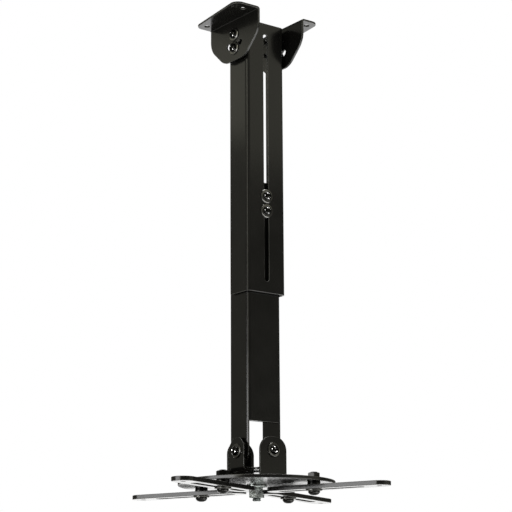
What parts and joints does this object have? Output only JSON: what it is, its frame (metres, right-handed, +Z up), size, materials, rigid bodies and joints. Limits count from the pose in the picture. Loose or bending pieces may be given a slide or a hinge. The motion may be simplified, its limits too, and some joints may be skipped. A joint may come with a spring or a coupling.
{
  "type": "telescopic projector ceiling mount",
  "caption": "Telescopic steel ceiling mount for a projector: folded brackets, slotted column with sliding extension, gimbal joint and a swivelling plate with adjustable slotted arms.",
  "frame": {"origin": "centre of the four ceiling holes, in the plane of the ceiling", "axes": "+Z up into the ceiling, -Y the side of the slotted web, +X to the right of it"},
  "size_m": [0.315, 0.315, 0.5822],
  "materials": {
    "black_paint": "semi-gloss powder coat",
    "black_screw": "black oxide, satin",
    "zinc": "bright zinc plate",
    "black_nylon": "matte"
  },
  "bodies": {
    "ceiling": {"ceiling_bracket_left": "black_paint", "ceiling_bracket_right": "black_paint"},
    "column": {"outer_channel": "black_paint", "tilt_screws": "black_screw", "tilt_washers": "black_screw", "tilt_spacers": "black_nylon", "tilt_nuts": "black_screw"},
    "extension": {"inner_channel": "black_paint", "extension_screws": "black_screw", "extension_washers": "black_screw", "extension_spacers": "black_nylon", "extension_nuts": "black_screw"},
    "gimbal": {"gimbal_bracket": "black_paint", "gimbal_screws": "black_screw", "gimbal_washers": "black_screw", "gimbal_spacers": "black_nylon", "gimbal_nuts": "black_screw"},
    "yoke": {"yoke_bracket": "black_paint", "yoke_screws": "black_screw", "yoke_washers": "black_screw", "yoke_nuts": "black_screw", "swivel_bolt": "zinc", "swivel_washer": "zinc", "swivel_sleeve": "zinc", "swivel_nut": "zinc"},
    "spider": {"spider_disk": "black_paint"},
    "clamp_1": {"clamp_screw_1": "black_screw", "clamp_washer_1": "black_screw", "clamp_spacer_1": "black_screw", "clamp_nut_1": "black_screw"},
    "arm_1": {"arm_1": "black_paint"},
    "clamp_2": {"clamp_screw_2": "black_screw", "clamp_washer_2": "black_screw", "clamp_spacer_2": "black_screw", "clamp_nut_2": "black_screw"},
    "arm_2": {"arm_2": "black_paint"},
    "clamp_3": {"clamp_screw_3": "black_screw", "clamp_washer_3": "black_screw", "clamp_spacer_3": "black_screw", "clamp_nut_3": "black_screw"},
    "arm_3": {"arm_3": "black_paint"},
    "clamp_4": {"clamp_screw_4": "black_screw", "clamp_washer_4": "black_screw", "clamp_spacer_4": "black_screw", "clamp_nut_4": "black_screw"},
    "arm_4": {"arm_4": "black_paint"}
  },
  "joints": [
    {"name": "column_tilt", "type": "hinge", "parent": "ceiling", "child": "column", "pos_m": [0, 0, -0.021], "axis": [1, 0, 0], "range_deg": [-15, 15]},
    {"name": "extension_slide", "type": "slide", "parent": "column", "child": "extension", "axis": [0, 0, -1], "range_m": [-0.13, 0.08]},
    {"name": "gimbal_tilt", "type": "hinge", "parent": "extension", "child": "gimbal", "pos_m": [0, 0.005, -0.526], "axis": [1, 0, 0], "range_deg": [-20, 20]},
    {"name": "yoke_roll", "type": "hinge", "parent": "gimbal", "child": "yoke", "pos_m": [0, 0.005, -0.526], "axis": [0, 1, 0], "range_deg": [-15, 15]},
    {"name": "swivel", "type": "hinge", "parent": "yoke", "child": "spider", "pos_m": [0, 0.005, -0.56], "axis": [0, 0, 1], "continuous": true},
    {"name": "arm_swing_1", "type": "hinge", "parent": "spider", "child": "clamp_1", "pos_m": [0.06904, 0.0343, -0.5676], "axis": [0, 0, 1], "range_deg": [-10, 10]},
    {"name": "arm_slide_1", "type": "slide", "parent": "clamp_1", "child": "arm_1", "axis": [0.9205, 0.3907, 0], "range_m": [0, 0.04]},
    {"name": "arm_swing_2", "type": "hinge", "parent": "spider", "child": "clamp_2", "pos_m": [-0.0293, 0.07404, -0.5676], "axis": [0, 0, 1], "range_deg": [-10, 10]},
    {"name": "arm_slide_2", "type": "slide", "parent": "clamp_2", "child": "arm_2", "axis": [-0.3907, 0.9205, 0], "range_m": [0, 0.04]},
    {"name": "arm_swing_3", "type": "hinge", "parent": "spider", "child": "clamp_3", "pos_m": [-0.06904, -0.0243, -0.5676], "axis": [0, 0, 1], "range_deg": [-10, 10]},
    {"name": "arm_slide_3", "type": "slide", "parent": "clamp_3", "child": "arm_3", "axis": [-0.9205, -0.3907, 0], "range_m": [0, 0.04]},
    {"name": "arm_swing_4", "type": "hinge", "parent": "spider", "child": "clamp_4", "pos_m": [0.0293, -0.06404, -0.5676], "axis": [0, 0, 1], "range_deg": [-10, 10]},
    {"name": "arm_slide_4", "type": "slide", "parent": "clamp_4", "child": "arm_4", "axis": [0.3907, -0.9205, 0], "range_m": [0, 0.04]}
  ]
}
